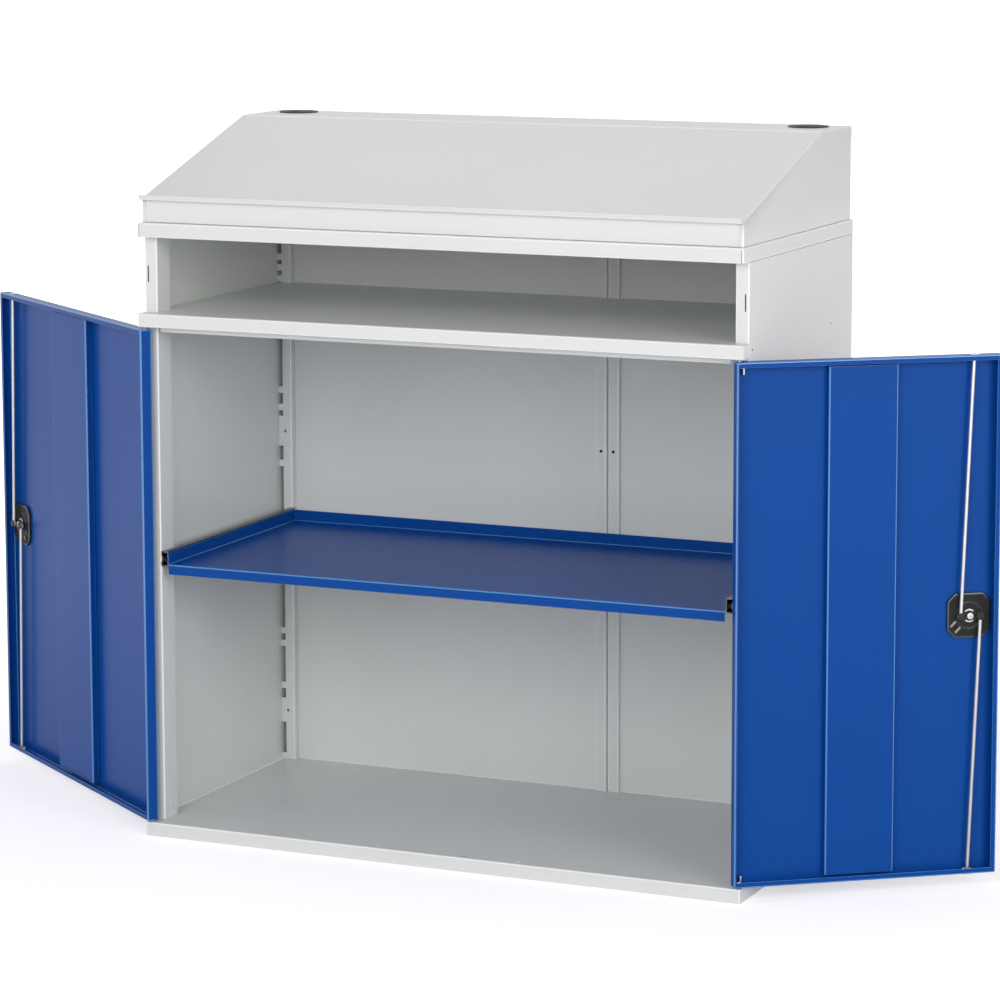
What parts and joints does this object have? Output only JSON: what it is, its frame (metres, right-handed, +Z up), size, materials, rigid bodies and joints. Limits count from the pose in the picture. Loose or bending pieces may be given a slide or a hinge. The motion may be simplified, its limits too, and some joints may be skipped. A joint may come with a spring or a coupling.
{
  "type": "workshop desk cabinet",
  "caption": "Sheet-steel workshop desk cabinet with unequal hinged doors locked by rods, a pull-out shelf, an open compartment and a sloping writing top.",
  "frame": {"origin": "middle of the underside of the base, on the floor", "axes": "+X to the right seen from the front, +Y to the back, +Z up"},
  "size_m": [1.9592, 0.5371, 1.2294],
  "materials": {
    "grey_paint": "light grey powder coat, satin",
    "blue_paint": "blue powder coat, satin",
    "black_plastic": "black moulded plastic, fine grain",
    "zinc_plate": "white zinc plate",
    "slide_steel": "bright zinc-plated slide",
    "dark_cam_steel": "black oxide",
    "white_nylon": "natural nylon"
  },
  "bodies": {
    "cabinet": {"base_tray": "grey_paint", "base_channel_1": "grey_paint", "base_channel_2": "grey_paint", "base_channel_3": "grey_paint", "left_side_panel": "grey_paint", "right_side_panel": "grey_paint", "left_rear_panel": "grey_paint", "right_rear_panel": "grey_paint", "left_rear_upright": "grey_paint", "right_rear_upright": "grey_paint", "fixed_shelf": "grey_paint", "top_cover": "grey_paint", "desk_front": "grey_paint", "desk_back": "grey_paint", "desk_left_side": "grey_paint", "desk_right_side": "grey_paint", "desk_top": "grey_paint", "left_outlet_ring": "black_plastic", "right_outlet_ring": "black_plastic", "left_outlet_cap": "black_plastic", "right_outlet_cap": "black_plastic", "left_slide_rail": "slide_steel", "right_slide_rail": "slide_steel"},
    "shelf": {"shelf_tray": "blue_paint", "left_slide_runner": "slide_steel", "right_slide_runner": "slide_steel"},
    "left_door": {"left_door_panel": "blue_paint", "left_door_stiffener": "blue_paint", "left_hinge_pin_top": "zinc_plate", "left_hinge_pin_bottom": "zinc_plate", "left_rod_guide_top": "white_nylon", "left_rod_guide_bottom": "white_nylon", "left_lock_cup": "black_plastic"},
    "left_lock": {"left_lock_handle": "black_plastic", "left_key_core": "zinc_plate", "left_lock_cam": "dark_cam_steel", "left_lock_washer": "zinc_plate", "left_lock_screw": "zinc_plate"},
    "left_upper_rod": {"left_upper_rod": "zinc_plate"},
    "left_lower_rod": {"left_lower_rod": "zinc_plate"},
    "right_door": {"right_door_panel": "blue_paint", "right_door_stiffener": "blue_paint", "right_hinge_pin_top": "zinc_plate", "right_hinge_pin_bottom": "zinc_plate", "right_rod_guide_top": "white_nylon", "right_rod_guide_bottom": "white_nylon", "right_lock_cup": "black_plastic"},
    "right_lock": {"right_lock_handle": "black_plastic", "right_key_core": "zinc_plate", "right_lock_cam": "dark_cam_steel", "right_lock_washer": "zinc_plate", "right_lock_screw": "zinc_plate"},
    "right_upper_rod": {"right_upper_rod": "zinc_plate"},
    "right_lower_rod": {"right_lower_rod": "zinc_plate"}
  },
  "joints": [
    {"name": "left_door_swing", "type": "hinge", "parent": "cabinet", "child": "left_door", "pos_m": [-0.541, -0.2565, 0], "axis": [0, 0, -1], "range_deg": [-217, 0]},
    {"name": "right_door_swing", "type": "hinge", "parent": "cabinet", "child": "right_door", "pos_m": [0.541, -0.2565, 0], "axis": [0, 0, 1], "range_deg": [-217, 0]},
    {"name": "left_lock_turn", "type": "hinge", "parent": "left_door", "child": "left_lock", "pos_m": [-1.00928, 0.10576, 0.4565], "axis": [-0.6018, -0.7986, 0], "range_deg": [-90, 0]},
    {"name": "left_upper_rod_pivot", "type": "hinge", "parent": "left_lock", "child": "left_upper_rod", "pos_m": [-1.03104, 0.10513, 0.4565], "axis": [-0.6018, -0.7986, 0], "range_deg": [-1, 93]},
    {"name": "left_lower_rod_pivot", "type": "hinge", "parent": "left_lock", "child": "left_lower_rod", "pos_m": [-1.00389, 0.08467, 0.4565], "axis": [-0.6018, -0.7986, 0], "range_deg": [-1, 93]},
    {"name": "right_lock_turn", "type": "hinge", "parent": "right_door", "child": "right_lock", "pos_m": [0.84955, -0.0146, 0.4565], "axis": [0.6018, -0.7986, 0], "range_deg": [-90, 0]},
    {"name": "right_upper_rod_pivot", "type": "hinge", "parent": "right_lock", "child": "right_upper_rod", "pos_m": [0.84416, -0.03569, 0.4565], "axis": [0.6018, -0.7986, 0], "range_deg": [-1, 93]},
    {"name": "right_lower_rod_pivot", "type": "hinge", "parent": "right_lock", "child": "right_lower_rod", "pos_m": [0.87131, -0.01523, 0.4565], "axis": [0.6018, -0.7986, 0], "range_deg": [-1, 93]},
    {"name": "shelf_slide", "type": "slide", "parent": "cabinet", "child": "shelf", "axis": [0, -1, 0], "range_m": [0, 0.35]}
  ],
  "couplings": [
    {"joint": "left_upper_rod_pivot", "follows": "left_lock_turn", "ratio": -1.0215},
    {"joint": "left_lower_rod_pivot", "follows": "left_lock_turn", "ratio": -1.0215},
    {"joint": "right_upper_rod_pivot", "follows": "right_lock_turn", "ratio": -1.0215},
    {"joint": "right_lower_rod_pivot", "follows": "right_lock_turn", "ratio": -1.0215}
  ]
}
